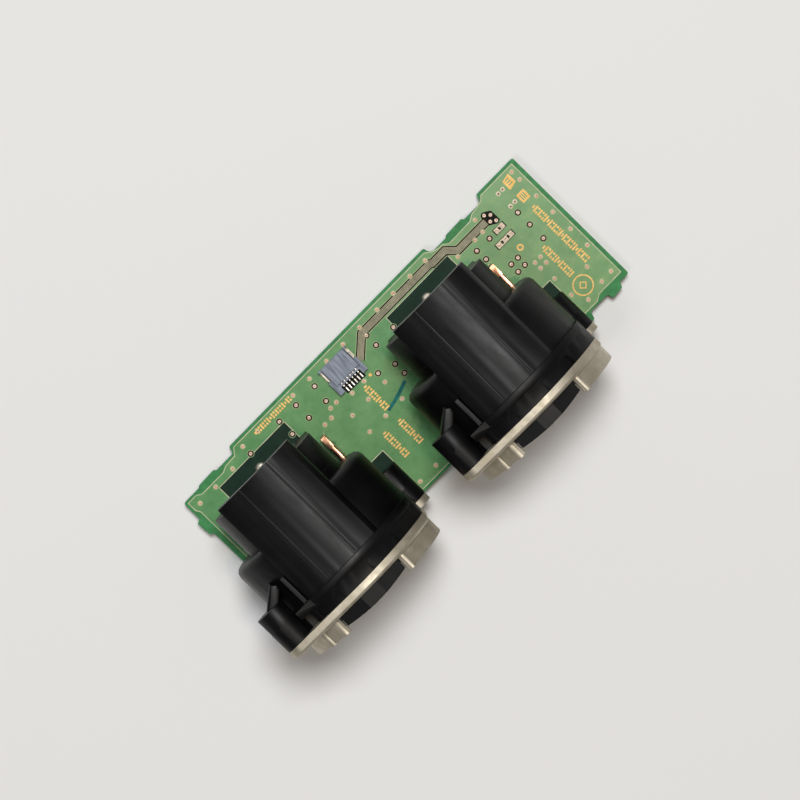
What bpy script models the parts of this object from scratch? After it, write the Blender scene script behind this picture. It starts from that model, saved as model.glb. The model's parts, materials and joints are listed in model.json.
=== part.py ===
"""Audio connector board: a narrow board with two latching three-pole sockets and a flat-cable connector.

X runs along the board, the sockets face -Y, +Z is up, and the origin is the middle of the board's underside.
Each socket is modelled about its own empty, which stands on the board's top face below the socket's axis.
"""

import math

import bmesh
import bpy
from mathutils import Matrix, Vector

MM = 0.001
OBJECT_NAME = "audio_connector_board"

# Driving dimensions: the board
BOARD_LENGTH = 60.0 * MM
BOARD_DEPTH = 21.6 * MM
BOARD_THICKNESS = 1.2 * MM
BOARD_CORNER = 0.25 * MM
REAR_STEP = 0.95 * MM  # how far the rear edge steps in at its left end
REAR_STEP_END = -21.0 * MM
REAR_NOTCH = (14.2 * MM, 23.4 * MM)  # where the rear notch begins and ends along X
REAR_NOTCH_DEPTH = 1.1 * MM
FRONT_STEP_START = 22.9 * MM
FRONT_STEP = 1.0 * MM

# Driving dimensions: the sockets
SOCKET_X = {"left": -20.0 * MM, "right": 10.0 * MM}
AXIS_HEIGHT = 10.15 * MM  # socket axis above the board's top face
SHELL_RADIUS = 10.7 * MM
BORE_RADIUS = 9.55 * MM
SADDLE_RADIUS = 11.35 * MM  # top of the hump and the flange
RIM_RADIUS = 11.5 * MM  # ridge along the flange's rear edge
RIM_WIDTH = 1.05 * MM
PLATE_RADIUS = 11.5 * MM
PLATE_ROUNDING = 0.4 * MM  # radius of the plate's stamped front edge
INSERT_RADIUS = 7.95 * MM
PLATE_BACK = -11.3 * MM
PLATE_FRONT = -12.5 * MM
COLLAR_FRONT = -14.6 * MM
PAD_FRONT = -14.36 * MM
FLANGE_BACK = -8.3 * MM
SHELL_BACK = -0.2 * MM
HUMP_BACK = 6.95 * MM
HUMP_HALF = 5.9 * MM
BLOCK_BACK = 5.9 * MM
EAR_X = 10.4 * MM
EAR_Z = 7.7 * MM
EAR_RADIUS = 2.0 * MM
BLOCK_HALF = 7.3 * MM  # half width of the insert's square foot
LOW_EAR_BACK = -10.65 * MM  # the lower ear is set back from the plate, and thinner
LOW_EAR_FRONT = -11.55 * MM
PEGS = ((-5.5 * MM, -4.0 * MM), (5.5 * MM, -4.0 * MM))  # locating pegs, in X and Y
GROUND_X = (8.0 * MM, 8.72 * MM)  # the two sides of the ground contact
GROUND_TAIL_Y = 1.7 * MM
CONTACT_CIRCLE = 5.5 * MM
CONTACT_ANGLES = {"contact_1": 30.0, "contact_2": 150.0, "contact_3": 270.0}
TAIL_DROP = 0.7 * MM  # how far solder tails stand out below the board
SLOT_HALF = 5.05 * MM
SLOT_ROOF = 10.95 * MM
LATCH_PIVOT_Y = 2.6 * MM
LATCH_PIVOT_Z = 9.81 * MM  # above the socket's axis

# Driving dimensions: the flat-cable connector
FFC_CENTRE = (-3.98 * MM, 7.32 * MM)
FFC_SIZE = (4.85 * MM, 4.1 * MM, 1.05 * MM)
FFC_PITCH = 0.5 * MM
FFC_WAYS = 6

FIT = 0.06 * MM  # gap between pieces that touch
REACH = 1.0 * MM  # how far cutters run past the faces they cut
SIDES = 48  # facets on a large circle

parts = None
cutters = None


# ---------------------------------------------------------------- scene and materials


def clear_scene():
    for item in list(bpy.data.objects):
        bpy.data.objects.remove(item, do_unlink=True)


def new_collection(name):
    collection = bpy.data.collections.new(name)
    bpy.context.scene.collection.children.link(collection)
    return collection


def new_material(name, colour, roughness, metallic=0.0):
    material = bpy.data.materials.new(name)
    material.use_nodes = True
    shader = material.node_tree.nodes["Principled BSDF"]
    shader.inputs["Base Color"].default_value = (*colour, 1.0)
    shader.inputs["Roughness"].default_value = roughness
    shader.inputs["Metallic"].default_value = metallic
    return material


def make_materials():
    return {
        "board": new_material("board", (0.12, 0.32, 0.14), 0.45),
        "black_plastic": new_material("black_plastic", (0.012, 0.012, 0.014), 0.5),
        "nickel": new_material("nickel", (0.46, 0.42, 0.34), 0.32, 1.0),
        "silver": new_material("silver", (0.75, 0.74, 0.70), 0.25, 1.0),
        "bronze": new_material("bronze", (0.60, 0.30, 0.17), 0.35, 1.0),
        "spring_steel": new_material("spring_steel", (0.50, 0.50, 0.50), 0.3, 1.0),
        "grey_plastic": new_material("grey_plastic", (0.24, 0.27, 0.38), 0.5),
    }


# ---------------------------------------------------------------- shapes


def link_mesh(name, mesh, parent, material=None, cutter=False):
    item = bpy.data.objects.new(name, mesh)
    item.parent = parent
    (cutters if cutter else parts).objects.link(item)
    if material:
        mesh.materials.append(material)
    if cutter:
        item.hide_render = True
        item.display_type = "WIRE"
    return item


def box_mesh(low, high):
    builder = bmesh.new()
    bmesh.ops.create_cube(builder, size=1.0)
    low, high = Vector(low), Vector(high)
    size = high - low
    middle = (high + low) / 2.0
    for vertex in builder.verts:
        vertex.co = Vector((vertex.co.x * size.x, vertex.co.y * size.y, vertex.co.z * size.z)) + middle
    mesh = bpy.data.meshes.new("box")
    builder.to_mesh(mesh)
    builder.free()
    return mesh


AXIS_TURN = {
    "X": Matrix(((0, 0, 1), (1, 0, 0), (0, 1, 0))).to_4x4(),
    "Y": Matrix(((1, 0, 0), (0, 0, -1), (0, 1, 0))).to_4x4(),
    "Z": Matrix.Identity(4),
}


def rod_mesh(axis, radius, centre, start, end, sides=24):
    """A cylinder along one axis; centre is its place on the other two axes, in order."""
    builder = bmesh.new()
    shape = {"segments": sides, "radius1": radius, "radius2": radius, "depth": abs(end - start)}
    bmesh.ops.create_cone(builder, cap_ends=True, **shape)
    middle = (start + end) / 2.0
    shift = {
        "X": Vector((middle, centre[0], centre[1])),
        "Y": Vector((centre[0], middle, centre[1])),
        "Z": Vector((centre[0], centre[1], middle)),
    }[axis]
    builder.transform(Matrix.Translation(shift) @ AXIS_TURN[axis])
    mesh = bpy.data.meshes.new("rod")
    builder.to_mesh(mesh)
    builder.free()
    return mesh


def prism_mesh(axis, outline, start, end):
    """A flat outline pushed along an axis, given in (y, z) for X, in (x, z) for Y and in (x, y) for Z."""
    curve = bpy.data.curves.new("outline", "CURVE")
    curve.dimensions = "2D"
    curve.fill_mode = "BOTH"
    curve.extrude = abs(end - start) / 2.0
    spline = curve.splines.new("POLY")
    spline.points.add(len(outline) - 1)
    for point, (u, v) in zip(spline.points, outline):
        point.co = (u, v, 0.0, 1.0)
    spline.use_cyclic_u = True
    flat = bpy.data.objects.new("outline", curve)
    bpy.context.scene.collection.objects.link(flat)
    bpy.context.view_layer.update()
    evaluated = flat.evaluated_get(bpy.context.evaluated_depsgraph_get())
    mesh = bpy.data.meshes.new_from_object(evaluated)
    bpy.data.objects.remove(flat, do_unlink=True)
    builder = bmesh.new()
    builder.from_mesh(mesh)
    bmesh.ops.remove_doubles(builder, verts=builder.verts, dist=0.001 * MM)
    bmesh.ops.dissolve_limit(builder, angle_limit=math.radians(0.1), verts=builder.verts, edges=builder.edges)
    middle = (start + end) / 2.0
    shift = {"X": (middle, 0, 0), "Y": (0, middle, 0), "Z": (0, 0, middle)}[axis]
    builder.transform(Matrix.Translation(shift) @ AXIS_TURN[axis])
    bmesh.ops.recalc_face_normals(builder, faces=builder.faces)
    builder.to_mesh(mesh)
    builder.free()
    return mesh


def arc(radius, start, end, steps, centre=(0.0, 0.0)):
    """Points along an arc; the angles are in degrees."""
    angles = [math.radians(start + (end - start) * i / steps) for i in range(steps + 1)]
    return [(centre[0] + radius * math.cos(a), centre[1] + radius * math.sin(a)) for a in angles]


def rounded(corners, steps=4):
    """An outline through corners given as (u, v, radius), with an arc at each corner that has a radius."""
    points = []
    for i, (u, v, radius) in enumerate(corners):
        here = Vector((u, v))
        if radius == 0.0:
            points.append((u, v))
            continue
        to_last = (Vector(corners[i - 1][:2]) - here).normalized()
        to_next = (Vector(corners[(i + 1) % len(corners)][:2]) - here).normalized()
        half = to_last.angle(to_next) / 2.0
        setback = radius / math.tan(half)
        middle = here + (to_last + to_next).normalized() * (radius / math.sin(half))
        first = here + to_last * setback - middle
        last = here + to_next * setback - middle
        turn = first.angle_signed(last)
        for step in range(steps + 1):
            spoke = first.copy()
            spoke.rotate(Matrix.Rotation(-turn * step / steps, 2))
            points.append(tuple(middle + spoke))
    return points


def saddle(radius, half_width, floor, steps):
    """A block with a round top: an arc about the origin between two upright sides."""
    edge = math.degrees(math.acos(half_width / radius))
    return [(-half_width, floor), (half_width, floor)] + arc(radius, edge, 180.0 - edge, steps)


def band(inner, outer, half_width, steps):
    """The part of a ring that lies above a strip of the given half width."""
    low = math.degrees(math.acos(half_width / inner))
    high = math.degrees(math.acos(half_width / outer))
    return arc(inner, 180.0 - low, low, steps) + arc(outer, high, 180.0 - high, steps)


def raised(outline, height):
    return [(u, v + height) for u, v in outline]


# ---------------------------------------------------------------- building with Booleans


class Piece:
    """One sub-part: a first solid, and the solids that are joined to it or cut from it."""

    def __init__(self, name, mesh, parent, material):
        self.name = name
        self.parent = parent
        self.item = link_mesh(name, mesh, parent, material)

    def _boolean(self, operation, mesh):
        label = f"{self.name}_{operation.lower()}_{len(self.item.modifiers) + 1}"
        tool = link_mesh(label, mesh, self.parent, cutter=True)
        step = self.item.modifiers.new(label, "BOOLEAN")
        step.operation = operation
        step.object = tool
        step.solver = "EXACT"
        return self

    def join(self, mesh):
        return self._boolean("UNION", mesh)

    def cut(self, mesh):
        return self._boolean("DIFFERENCE", mesh)

    def shade(self):
        self.item.data.shade_smooth()
        self.item.data.set_sharp_from_angle(angle=math.radians(30.0))
        return self.item


def bevelled(mesh, width, where=None, segments=2):
    """The mesh with its sharp edges rounded, all of them or those whose two ends pass a test."""
    builder = bmesh.new()
    builder.from_mesh(mesh)
    sharp = [e for e in builder.edges if e.calc_face_angle(0.0) > math.radians(40.0)]
    if where:
        sharp = [e for e in sharp if all(where(vertex.co) for vertex in e.verts)]
    bmesh.ops.bevel(
        builder, geom=sharp, offset=width, segments=segments, profile=0.5, affect="EDGES", clamp_overlap=True
    )
    builder.to_mesh(mesh)
    builder.free()
    return mesh


def turned_mesh(profile, height, sides=SIDES):
    """A solid turned about the socket's axis, from a profile of (radius, y) that runs from rear to front."""
    mesh = bpy.data.meshes.new("profile")
    builder = bmesh.new()
    points = [builder.verts.new((radius, 0.0, -y)) for radius, y in profile]
    for first, second in zip(points, points[1:]):
        builder.edges.new((first, second))
    builder.to_mesh(mesh)
    builder.free()
    guide = bpy.data.objects.new("profile", mesh)
    bpy.context.scene.collection.objects.link(guide)
    screw = guide.modifiers.new("turn", "SCREW")
    screw.axis = "Z"
    screw.steps = sides
    screw.render_steps = sides
    screw.use_merge_vertices = True
    screw.merge_threshold = 0.001 * MM
    bpy.context.view_layer.update()
    evaluated = guide.evaluated_get(bpy.context.evaluated_depsgraph_get())
    solid = bpy.data.meshes.new_from_object(evaluated)
    bpy.data.objects.remove(guide, do_unlink=True)
    builder = bmesh.new()
    builder.from_mesh(solid)
    bmesh.ops.remove_doubles(builder, verts=builder.verts, dist=0.001 * MM)
    bmesh.ops.dissolve_limit(builder, angle_limit=math.radians(0.1), verts=builder.verts, edges=builder.edges)
    builder.transform(Matrix.Translation((0.0, 0.0, height)) @ AXIS_TURN["Y"])
    bmesh.ops.recalc_face_normals(builder, faces=builder.faces)
    builder.to_mesh(solid)
    builder.free()
    return solid


# ---------------------------------------------------------------- socket outlines, about the socket's axis


def one_ear_outline(radius, upper):
    """One ear alone: a round tongue whose root lies inside the flange."""
    u, v = ear_centre(upper)
    towards = math.degrees(math.atan2(v, u))
    points = arc(radius, towards - 110.0, towards + 110.0, 14, (u, v))
    return points + [(0.7 * u, 0.7 * v)]


def flat_circle(radius, half_width):
    """A circle with flat sides."""
    edge = math.degrees(math.acos(half_width / radius))
    steps = 40
    return arc(radius, edge, 180.0 - edge, steps) + arc(radius, 180.0 + edge, 360.0 - edge, steps)


def ear_outline(radius, half_width):
    """A circle with flat sides and one round ear at the upper left."""
    flat = math.sqrt(radius**2 - half_width**2)
    towards = math.degrees(math.atan2(EAR_Z, -EAR_X))
    distance = math.hypot(EAR_X, EAR_Z)
    spread = math.degrees(math.acos((radius - EAR_RADIUS) / distance))
    points = arc(EAR_RADIUS, towards - spread, towards + spread, 8, ear_centre(True))
    # Round the circle from the ear's one tangent to the other, flat where it would pass the sides
    for u, v in arc(radius, towards + spread, towards + 360.0 - spread, SIDES)[1:-1]:
        if abs(u) < half_width:
            points.append((u, v))
        elif abs(points[-1][0]) < half_width:
            side = math.copysign(half_width, u)
            points += [(side, math.copysign(flat, v)), (side, -math.copysign(flat, v))]
    return points


def ear_centre(upper, height=0.0):
    return (-EAR_X, height + EAR_Z) if upper else (EAR_X, height - EAR_Z)


# ---------------------------------------------------------------- the socket's pieces


def make_housing(side, parent, materials):
    c = AXIS_HEIGHT
    r = 1.0 * MM
    corner = arc(r, 90.0, 0.0, 3, (SHELL_BACK - r, SHELL_RADIUS - r))
    profile = [(0.0, SHELL_BACK)] + [(v, u) for u, v in reversed(corner)]
    front = PLATE_BACK + FIT
    inside = front + 0.4 * MM
    profile += [(SHELL_RADIUS, inside), (0.0, inside)]
    piece = Piece(f"{side}_housing", turned_mesh(profile, c), parent, materials["black_plastic"])

    # Flange with its two ears, the lower one set back, and a boss behind each
    flat_side = SHELL_RADIUS + 0.05 * MM
    piece.join(prism_mesh("Y", raised(flat_circle(SADDLE_RADIUS, flat_side), c), front, FLANGE_BACK))
    for upper, start in ((True, front + 0.01 * MM), (False, LOW_EAR_BACK + FIT)):
        ear = raised(one_ear_outline(EAR_RADIUS, upper), c)
        piece.join(prism_mesh("Y", ear, start, FLANGE_BACK - 0.05 * MM))
    boss = EAR_RADIUS - 0.02 * MM
    piece.join(rod_mesh("Y", boss, ear_centre(True, c), front + 0.5 * MM, -6.0 * MM))
    piece.join(rod_mesh("Y", boss, ear_centre(False, c), LOW_EAR_BACK + 0.5 * MM, -5.25 * MM))

    # Hump with a chamfer along its right edge
    hump = saddle(SADDLE_RADIUS - 0.02 * MM, HUMP_HALF, 6.0 * MM, 18)
    hump_top = HUMP_HALF - 0.5 * MM
    hump = [p for p in hump if p[0] < hump_top or p[1] < 8.0 * MM]
    hump.insert(2, (HUMP_HALF, 9.0 * MM))
    piece.join(prism_mesh("Y", raised(hump, c), front + 0.3 * MM, HUMP_BACK))

    # Ridge along the flange's rear edge, with rounded edges
    ridge = arc(RIM_RADIUS, 21.0, 140.0, 24) + arc(0.9 * RIM_RADIUS, 140.0, 21.0, 6)
    ridge = prism_mesh("Y", ridge, FLANGE_BACK - RIM_WIDTH, FLANGE_BACK + 0.02 * MM)
    ridge = bevelled(ridge, 0.1 * MM, lambda place: place.xz.length > 0.95 * RIM_RADIUS)
    ridge.transform(Matrix.Translation((0.0, 0.0, c)))
    piece.join(ridge)

    # Foot under the lower right boss
    foot_top = c - EAR_Z + 0.2 * MM
    piece.join(box_mesh((8.6 * MM, LOW_EAR_BACK + 0.2 * MM, FIT), (12.36 * MM, -5.3 * MM, foot_top)))

    # Thin rib beside the hump, slanting web behind the upper left boss, and the rim along the flange's top
    rib_x = -6.44 * MM
    rib_low = (rib_x - 0.25 * MM, FLANGE_BACK - 1.0 * MM, c + 6.0 * MM)
    piece.join(box_mesh(rib_low, (rib_x + 0.25 * MM, -4.2 * MM, c + 9.4 * MM)))
    web = [(-11.2 * MM, -6.5 * MM), (-9.1 * MM, -6.5 * MM), (-7.55 * MM, -5.2 * MM), (-7.4 * MM, -4.4 * MM)]
    web += [(-8.1 * MM, -3.75 * MM), (-10.7 * MM, -5.85 * MM)]
    web = prism_mesh("Z", web, c + 5.4 * MM, c + 8.35 * MM)
    piece.join(bevelled(web, 0.5 * MM, lambda place: place.z > c + 8.3 * MM, 3))
    rib_foot_low = (-8.3 * MM, -9.5 * MM, c + 6.5 * MM)
    piece.join(box_mesh(rib_foot_low, (-5.0 * MM, FLANGE_BACK - 0.1 * MM, c + 9.9 * MM)))

    # Locating pegs that drop into the board
    for place in PEGS:
        piece.join(rod_mesh("Z", 0.7 * MM, place, -0.95 * MM, 1.75 * MM, 12))

    # Flat underside, with the pegs left standing
    low = box_mesh((-14.0 * MM, -12.0 * MM, -3.0 * MM), (14.0 * MM, 8.0 * MM, FIT))
    under = Piece(f"{side}_housing_under", low, parent, None)
    for place in PEGS:
        under.cut(rod_mesh("Z", 0.75 * MM, place, -4.0 * MM, 1.0 * MM, 12))
    make_cutter(under.item)
    use_solid(piece, under.item)

    # Bore for the plug, and the round hole that the insert passes through
    piece.cut(rod_mesh("Y", BORE_RADIUS, (0.0, c), front - REACH, -1.2 * MM, SIDES))
    piece.cut(rod_mesh("Y", INSERT_RADIUS + FIT, (0.0, c), -2.0 * MM, HUMP_BACK + REACH, SIDES))

    # Slot for the release button, slot for the latch lever, and holes for its pivot
    wide = raised(band(BORE_RADIUS - 0.3 * MM, SLOT_ROOF, SLOT_HALF, 14), c)
    piece.cut(prism_mesh("Y", wide, front - REACH, -5.4 * MM))
    narrow = raised(band(BORE_RADIUS - 0.25 * MM, SLOT_ROOF + 0.01 * MM, 2.1 * MM, 6), c)
    piece.cut(prism_mesh("Y", narrow, -6.5 * MM, 3.6 * MM))
    piece.cut(rod_mesh("X", 0.42 * MM, (LATCH_PIVOT_Y, c + LATCH_PIVOT_Z), -2.7 * MM, 2.7 * MM, 12))

    # Pilot holes in the bosses
    for upper in (True, False):
        piece.cut(rod_mesh("Y", 0.95 * MM, ear_centre(upper, c), front - REACH, -7.0 * MM, 14))
    # Deep pit in the flange beside the rib
    piece.cut(box_mesh((-8.12 * MM, front - REACH, c + 6.9 * MM), (-6.95 * MM, -9.55 * MM, c + 12.0 * MM)))

    # Two grooves along the hump, and two shallow pockets in the flange's top
    for x in (-2.3 * MM, 2.3 * MM):
        top = c + math.sqrt(SADDLE_RADIUS**2 - x**2)
        groove_low = (x - 0.11 * MM, -8.1 * MM, top - 0.24 * MM)
        piece.cut(box_mesh(groove_low, (x + 0.11 * MM, 8.0 * MM, top + REACH)))
    for start, end in ((-6.2 * MM, -2.5 * MM), (2.3 * MM, 6.8 * MM)):
        corners = [(start, front - REACH, 0.0), (end, front - REACH, 0.0)]
        corners += [(end, front + 1.5 * MM, 0.5 * MM), (start, front + 1.5 * MM, 0.5 * MM)]
        pocket = prism_mesh("Z", rounded(corners), c + 8.6 * MM, c + 14.0 * MM)
        keep = rod_mesh("Y", SADDLE_RADIUS - 0.22 * MM, (0.0, c), front - 2.0 * REACH, -8.0 * MM, SIDES)
        cutter = Piece(f"{side}_housing_pocket_{'left' if start < 0 else 'right'}", pocket, parent, None)
        cutter.cut(keep)
        make_cutter(cutter.item)
        use_solid(piece, cutter.item)

    # Slot that holds the ground contact
    left, right = GROUND_X
    piece.cut(box_mesh((left - FIT, -2.1 * MM, -REACH), (right + FIT, REACH, 4.6 * MM)))
    return piece.shade()


def make_cutter(item):
    """Moves a solid that is itself cut to the cutters, so that it only cuts another."""
    parts.objects.unlink(item)
    cutters.objects.link(item)
    item.hide_render = True
    item.display_type = "WIRE"


def use_solid(piece, item, operation="DIFFERENCE"):
    step = piece.item.modifiers.new(item.name, "BOOLEAN")
    step.operation = operation
    step.object = item
    step.solver = "EXACT"


EAR_HOLE_RADIUS = 1.15 * MM
# Place along X and radius of each rib
COLLAR_RIBS = ((-7.8 * MM, 0.6 * MM), (-5.7 * MM, 0.62 * MM), (5.62 * MM, 0.5 * MM))


def make_front_plate(side, parent, materials):
    c = AXIS_HEIGHT
    flat_side = SHELL_RADIUS + 0.12 * MM
    outline = raised(ear_outline(PLATE_RADIUS, flat_side), c)
    sheet = prism_mesh("Y", outline, PLATE_FRONT, PLATE_BACK)
    sheet = bevelled(sheet, PLATE_ROUNDING, lambda place: place.y < PLATE_FRONT + 0.01 * MM, 4)
    piece = Piece(f"{side}_front_plate", sheet, parent, materials["nickel"])

    # The lower ear, stepped back beside the housing's flange
    low_ear = raised(one_ear_outline(EAR_RADIUS - 0.03 * MM, False), c)
    low_ear = prism_mesh("Y", low_ear, LOW_EAR_FRONT, LOW_EAR_BACK)
    ear = Piece(f"{side}_front_plate_ear", low_ear, parent, None)
    flange = raised(flat_circle(SADDLE_RADIUS + FIT, SHELL_RADIUS + 0.05 * MM + FIT), c)
    ear.cut(prism_mesh("Y", flange, PLATE_BACK + 0.01 * MM, LOW_EAR_BACK + REACH))
    board_front = -BOARD_DEPTH / 2 - 0.08 * MM
    ear.cut(box_mesh((-14.0 * MM, board_front, -3.0 * MM), (14.0 * MM, LOW_EAR_BACK + REACH, FIT)))
    make_cutter(ear.item)
    use_solid(piece, ear.item, "UNION")

    # Collar round the mouth, open at the top where the release button stands
    gap = 28.8
    collar = arc(SHELL_RADIUS, 90.0 + gap, 450.0 - gap, 60)
    collar += arc(BORE_RADIUS + 0.1 * MM, 450.0 - gap, 90.0 + gap, 60)
    piece.join(prism_mesh("Y", raised(collar, c), COLLAR_FRONT, PLATE_FRONT + 0.4 * MM))

    # Rolled ribs along the collar: one on the left, and one at each end of the gap
    for x, radius in COLLAR_RIBS:
        centre = (x, c + math.sqrt((SHELL_RADIUS - 0.35 * MM) ** 2 - x**2))
        piece.join(rod_mesh("Y", radius, centre, COLLAR_FRONT - 0.1 * MM, PLATE_FRONT + 0.3 * MM, 16))

    # Mouth, button slot and ear holes
    mouth = BORE_RADIUS + 0.1 * MM
    piece.cut(rod_mesh("Y", mouth, (0.0, c), COLLAR_FRONT - REACH, PLATE_BACK + REACH, SIDES))
    slot = raised(band(BORE_RADIUS - 0.3 * MM, SLOT_ROOF, SLOT_HALF, 14), c)
    piece.cut(prism_mesh("Y", slot, COLLAR_FRONT - REACH, PLATE_BACK + REACH))
    for upper in (True, False):
        hole = ear_centre(upper, c)
        piece.cut(rod_mesh("Y", EAR_HOLE_RADIUS, hole, PLATE_FRONT - REACH, LOW_EAR_BACK + REACH, 20))
    return piece.shade()


def contact_centre(name):
    angle = math.radians(CONTACT_ANGLES[name])
    return (CONTACT_CIRCLE * math.cos(angle), AXIS_HEIGHT + CONTACT_CIRCLE * math.sin(angle))


STRIP_WIDTH = 1.5 * MM
STRIP_THICKNESS = 0.4 * MM
STRIP_SLOT_Y = 4.2 * MM  # where the slots that lead the strips down begin
# Rear face of each strip
STRIP_BACK = {"contact_1": 5.15 * MM, "contact_2": 5.15 * MM, "contact_3": 6.2 * MM}


def make_contact_insert(side, parent, materials):
    c = AXIS_HEIGHT
    r = 0.5 * MM
    face = -13.5 * MM
    corner = arc(r, 90.0, 180.0, 2, (face + r, INSERT_RADIUS - r))
    profile = [(0.0, 1.0 * MM), (INSERT_RADIUS, 1.0 * MM)] + [(v, u) for u, v in corner] + [(0.0, face)]
    piece = Piece(f"{side}_contact_insert", turned_mesh(profile, c), parent, materials["black_plastic"])

    # Block behind the shell: round, with a square foot
    block_radius = INSERT_RADIUS - 0.05 * MM
    foot = math.degrees(math.acos(BLOCK_HALF / block_radius))
    block = [(BLOCK_HALF, FIT - c)] + arc(block_radius, -foot, 180.0 + foot, 36) + [(-BLOCK_HALF, FIT - c)]
    piece.join(prism_mesh("Y", raised(block, c), SHELL_BACK + FIT, BLOCK_BACK))
    piece.cut(box_mesh((3.0 * MM, 5.3 * MM, -REACH), (9.0 * MM, BLOCK_BACK + REACH, 2.0 * c)))

    # Keyway along the top, wells for the contacts, and slots where their strips come out behind
    piece.cut(box_mesh((-1.5 * MM, face - REACH, c + 7.0 * MM), (1.5 * MM, -1.6 * MM, c + 9.0 * MM)))
    for name in CONTACT_ANGLES:
        x, z = contact_centre(name)
        piece.cut(rod_mesh("Y", 1.65 * MM, (x, z), face - REACH, 3.0 * MM, 20))
        half = STRIP_WIDTH / 2 + FIT
        top = z + STRIP_THICKNESS / 2 + FIT
        level_low = (x - half, 2.0 * MM, z - STRIP_THICKNESS / 2 - FIT)
        piece.cut(box_mesh(level_low, (x + half, STRIP_SLOT_Y + 0.2 * MM, top)))
        piece.cut(box_mesh((x - half, STRIP_SLOT_Y, -REACH), (x + half, BLOCK_BACK + REACH, top)))
    return piece.shade()


def make_contact(name, side, parent, materials):
    x, z = contact_centre(name)
    barrel = rod_mesh("Y", 1.55 * MM, (x, z), -12.7 * MM, 2.6 * MM, 20)
    piece = Piece(f"{side}_{name}", barrel, parent, materials["silver"])

    # Strip that leaves the insert, turns down behind it and runs to the board
    t = STRIP_THICKNESS
    bend = 0.9 * MM
    back = STRIP_BACK[name]
    middle = (back - bend, z + t / 2 - bend)
    low = 0.12 * MM
    strip = [(2.2 * MM, z - t / 2), (2.2 * MM, z + t / 2)]
    strip += arc(bend, 90.0, 0.0, 5, middle)
    strip += [(back, low), (back - t, low)]
    strip += arc(bend - t, 0.0, 90.0, 5, middle)
    piece.join(prism_mesh("X", strip, x - STRIP_WIDTH / 2, x + STRIP_WIDTH / 2))

    # Pin through the board, and the well that a plug's pin enters, slit so that it grips
    tail = (back - t / 2, -BOARD_THICKNESS - TAIL_DROP)
    pin_high = (x + 0.35 * MM, tail[0] + 0.19 * MM, 0.4 * MM)
    piece.join(box_mesh((x - 0.35 * MM, tail[0] - 0.19 * MM, tail[1]), pin_high))
    piece.cut(rod_mesh("Y", 1.22 * MM, (x, z), -12.7 * MM - REACH, -1.5 * MM, 20))
    piece.cut(box_mesh((x - 0.2 * MM, -13.5 * MM, z - 2.0 * MM), (x + 0.2 * MM, -6.0 * MM, z + 2.0 * MM)))
    return piece.shade()


def make_ground_contact(side, parent, materials):
    left, right = GROUND_X
    blade = box_mesh((left, -2.0 * MM, FIT), (right, 3.5 * MM, 4.5 * MM))
    blade = bevelled(blade, 0.22 * MM, segments=3)
    piece = Piece(f"{side}_ground_contact", blade, parent, materials["bronze"])
    tail_low = (left + 0.14 * MM, GROUND_TAIL_Y - 0.25 * MM, -BOARD_THICKNESS - TAIL_DROP)
    piece.join(box_mesh(tail_low, (right - 0.13 * MM, GROUND_TAIL_Y + 0.25 * MM, 0.5 * MM)))
    # Rear end pressed flat
    piece.cut(box_mesh((7.0 * MM, 1.75 * MM, 4.36 * MM), (9.5 * MM, 3.38 * MM, 6.0 * MM)))
    return piece.shade()


def make_release_button(side, parent, materials):
    """A pad with three facets on top, and two arms whose ramps lift the latch lever. It slides along Y."""
    c = AXIS_HEIGHT
    outer = SLOT_ROOF - 0.2 * MM
    inner = BORE_RADIUS + 0.13 * MM
    half = SLOT_HALF - 0.15 * MM
    facet = 1.35 * MM
    low = math.degrees(math.acos(half / inner))
    outline = arc(inner, 180.0 - low, low, 12)
    outline += [(x, math.sqrt(outer**2 - x**2)) for x in (half, facet, -facet, -half)]
    piece = Piece(
        f"{side}_release_button",
        prism_mesh("Y", raised(outline, c), PAD_FRONT, -10.2 * MM),
        parent,
        materials["black_plastic"],
    )
    for sign in (-1.0, 1.0):
        arm = [(-10.6 * MM, c + 9.27 * MM), (-7.0 * MM, c + 9.27 * MM), (-7.0 * MM, c + 9.6 * MM)]
        arm += [(-8.2 * MM, c + 9.95 * MM), (-10.6 * MM, c + 9.95 * MM)]
        x = sorted((sign * 2.55 * MM, sign * 3.55 * MM))
        piece.join(prism_mesh("X", arm, x[0], x[1]))
    # The pad's front is slightly crowned
    crown = 30.0 * MM
    crowned = rod_mesh("Z", crown, (0.0, PAD_FRONT + crown), c + 4.0 * MM, c + 14.0 * MM, 256)
    ahead_low = (-8.0 * MM, PAD_FRONT - REACH, c + 5.0 * MM)
    ahead = box_mesh(ahead_low, (8.0 * MM, PAD_FRONT + REACH, c + 13.0 * MM))
    around = Piece(f"{side}_release_button_crown", ahead, parent, None)
    around.cut(crowned)
    make_cutter(around.item)
    use_solid(piece, around.item)
    return piece.shade()


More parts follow.
